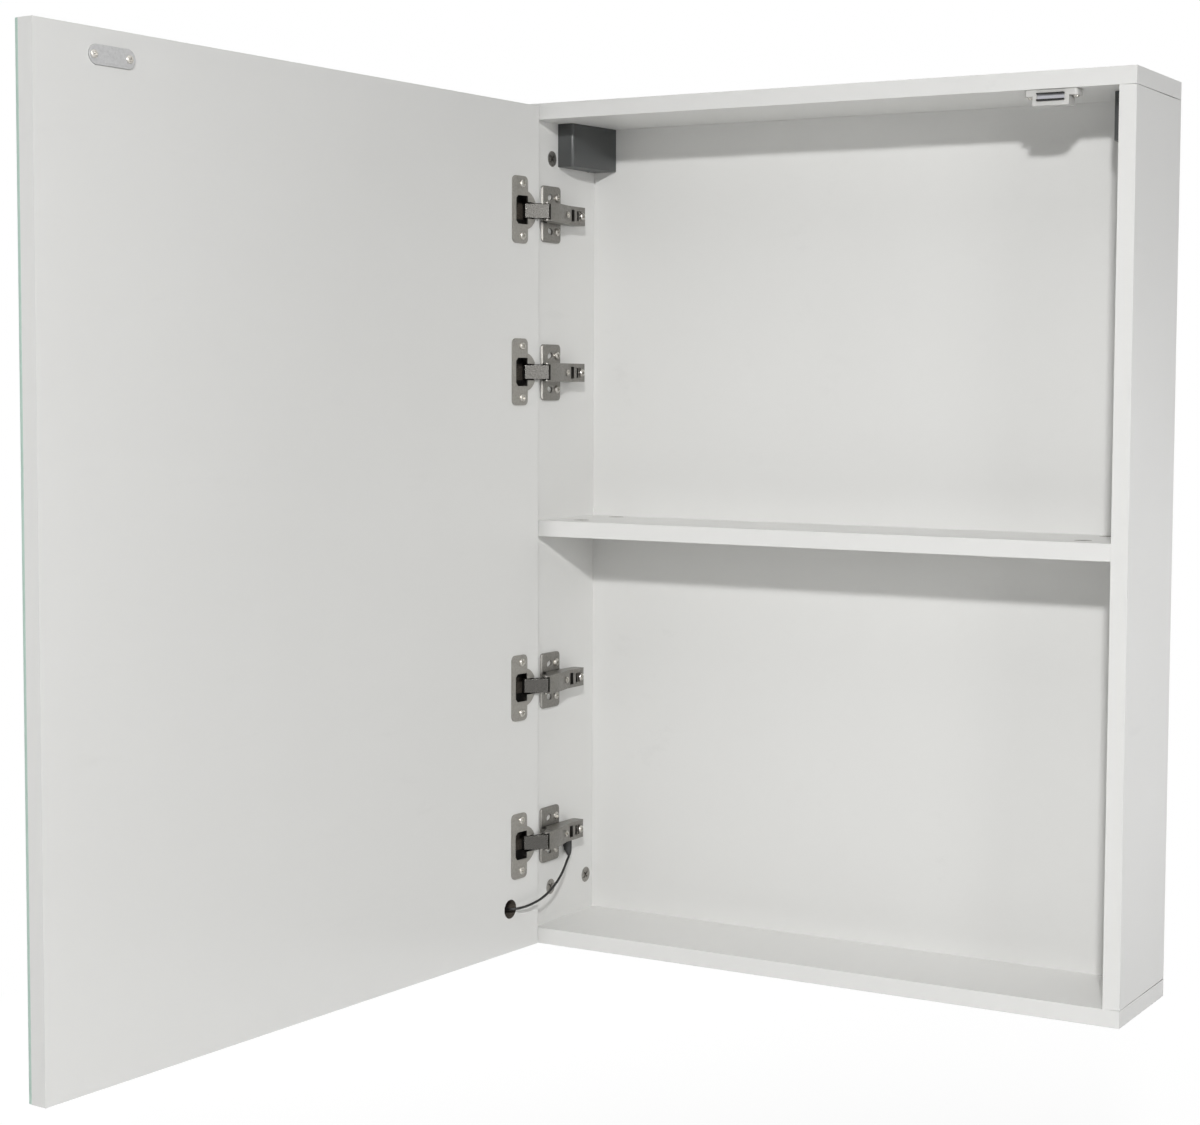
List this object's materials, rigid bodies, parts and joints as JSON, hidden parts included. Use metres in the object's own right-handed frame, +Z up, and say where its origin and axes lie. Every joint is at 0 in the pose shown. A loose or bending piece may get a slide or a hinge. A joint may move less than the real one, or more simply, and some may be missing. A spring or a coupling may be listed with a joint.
{
  "type": "mirror cabinet",
  "caption": "Wall-hung bathroom mirror cabinet with a fixed shelf and one full-overlay mirror door on concealed cup hinges, shown open.",
  "frame": {"origin": "on the wall plane at the cabinet's mid width, on the line along the undersides of the two hooks that the cabinet hangs on", "axes": "+X to the right and +Y into the wall as seen by someone facing the cabinet, +Z up"},
  "size_m": [0.6319, 0.7281, 0.8],
  "materials": {
    "white_laminate": "white melamine-faced chipboard, fine matt texture",
    "white_backing": "white painted fibreboard, matt",
    "zinc_fittings": "die-cast zinc, plain",
    "beech": "fluted beech dowel",
    "hanger_plastic": "moulded grey plastic",
    "cover_plastic": "moulded dark grey plastic, satin",
    "plated_steel": "zinc-plated sheet steel",
    "screw_steel": "zinc-plated steel with a cross recess",
    "white_plastic": "white moulded plastic",
    "ferrite": "sintered ferrite magnet",
    "hinge_nickel": "nickel-plated pressed steel, satin",
    "link_steel": "bright nickel-plated steel",
    "mirror_glass": "silvered float glass with a painted back",
    "heating_foil": "laminated heating foil",
    "black_plastic": "black moulded terminal",
    "boot_rubber": "soft dark grey grommet boot",
    "cable_sheath": "thin black sheathed cable"
  },
  "bodies": {
    "carcass": {"top_panel": "white_laminate", "bottom_panel": "white_laminate", "left_side_panel": "white_laminate", "right_side_panel": "white_laminate", "back_panel": "white_backing", "shelf": "white_laminate", "panel_cams": "zinc_fittings", "panel_cam_bolts": "zinc_fittings", "shelf_cams": "zinc_fittings", "shelf_cam_bolts": "zinc_fittings", "wood_dowels": "beech", "left_hanger_body": "hanger_plastic", "right_hanger_body": "hanger_plastic", "left_hanger_hook": "plated_steel", "right_hanger_hook": "plated_steel", "left_hanger_cover": "cover_plastic", "right_hanger_cover": "cover_plastic", "hanger_screws": "screw_steel", "hanger_adjusters": "screw_steel", "catch_housing": "white_plastic", "catch_magnet": "ferrite", "catch_pole_plates": "plated_steel", "catch_screws": "screw_steel", "hinge_1_mounting_plate": "hinge_nickel", "hinge_2_mounting_plate": "hinge_nickel", "hinge_3_mounting_plate": "hinge_nickel", "hinge_4_mounting_plate": "hinge_nickel", "hinge_1_arm": "hinge_nickel", "hinge_2_arm": "hinge_nickel", "hinge_3_arm": "hinge_nickel", "hinge_4_arm": "hinge_nickel", "plate_screws": "screw_steel", "arm_side_screws": "screw_steel", "arm_fixing_screws": "screw_steel", "arm_pins": "link_steel", "cable_boot": "boot_rubber", "door_cable": "cable_sheath"},
    "inner_links": {"hinge_1_inner_link": "link_steel", "hinge_2_inner_link": "link_steel", "hinge_3_inner_link": "link_steel", "hinge_4_inner_link": "link_steel"},
    "outer_links": {"hinge_1_outer_link": "link_steel", "hinge_2_outer_link": "link_steel", "hinge_3_outer_link": "link_steel", "hinge_4_outer_link": "link_steel"},
    "door": {"hinge_1_cup": "hinge_nickel", "hinge_2_cup": "hinge_nickel", "hinge_3_cup": "hinge_nickel", "hinge_4_cup": "hinge_nickel", "cup_screws": "screw_steel", "cup_pins": "link_steel", "door_board": "white_laminate", "mirror_glass": "mirror_glass", "heating_pad": "heating_foil", "pad_terminal": "black_plastic", "striker_plate": "plated_steel", "striker_screws": "screw_steel"}
  },
  "joints": [
    {"name": "inner_links_swing", "type": "hinge", "parent": "carcass", "child": "inner_links", "pos_m": [-0.2666, -0.1292, -0.364], "axis": [0, 0, -1], "range_deg": [-3.2, 47.8]},
    {"name": "door_swing", "type": "hinge", "parent": "inner_links", "child": "door", "pos_m": [-0.281, -0.14327, -0.364], "axis": [0, 0, -1], "range_deg": [-141.55, 9.35], "deforming": ["door_cable"]},
    {"name": "outer_links_swing", "type": "hinge", "parent": "carcass", "child": "outer_links", "pos_m": [-0.271, -0.117, -0.364], "axis": [0, 0, -1], "range_deg": [-3, 44.1]}
  ],
  "couplings": [
    {"joint": "inner_links_swing", "follows": "door_swing", "ratio": -0.33738},
    {"joint": "outer_links_swing", "follows": "door_swing", "ratio": -0.3108}
  ]
}
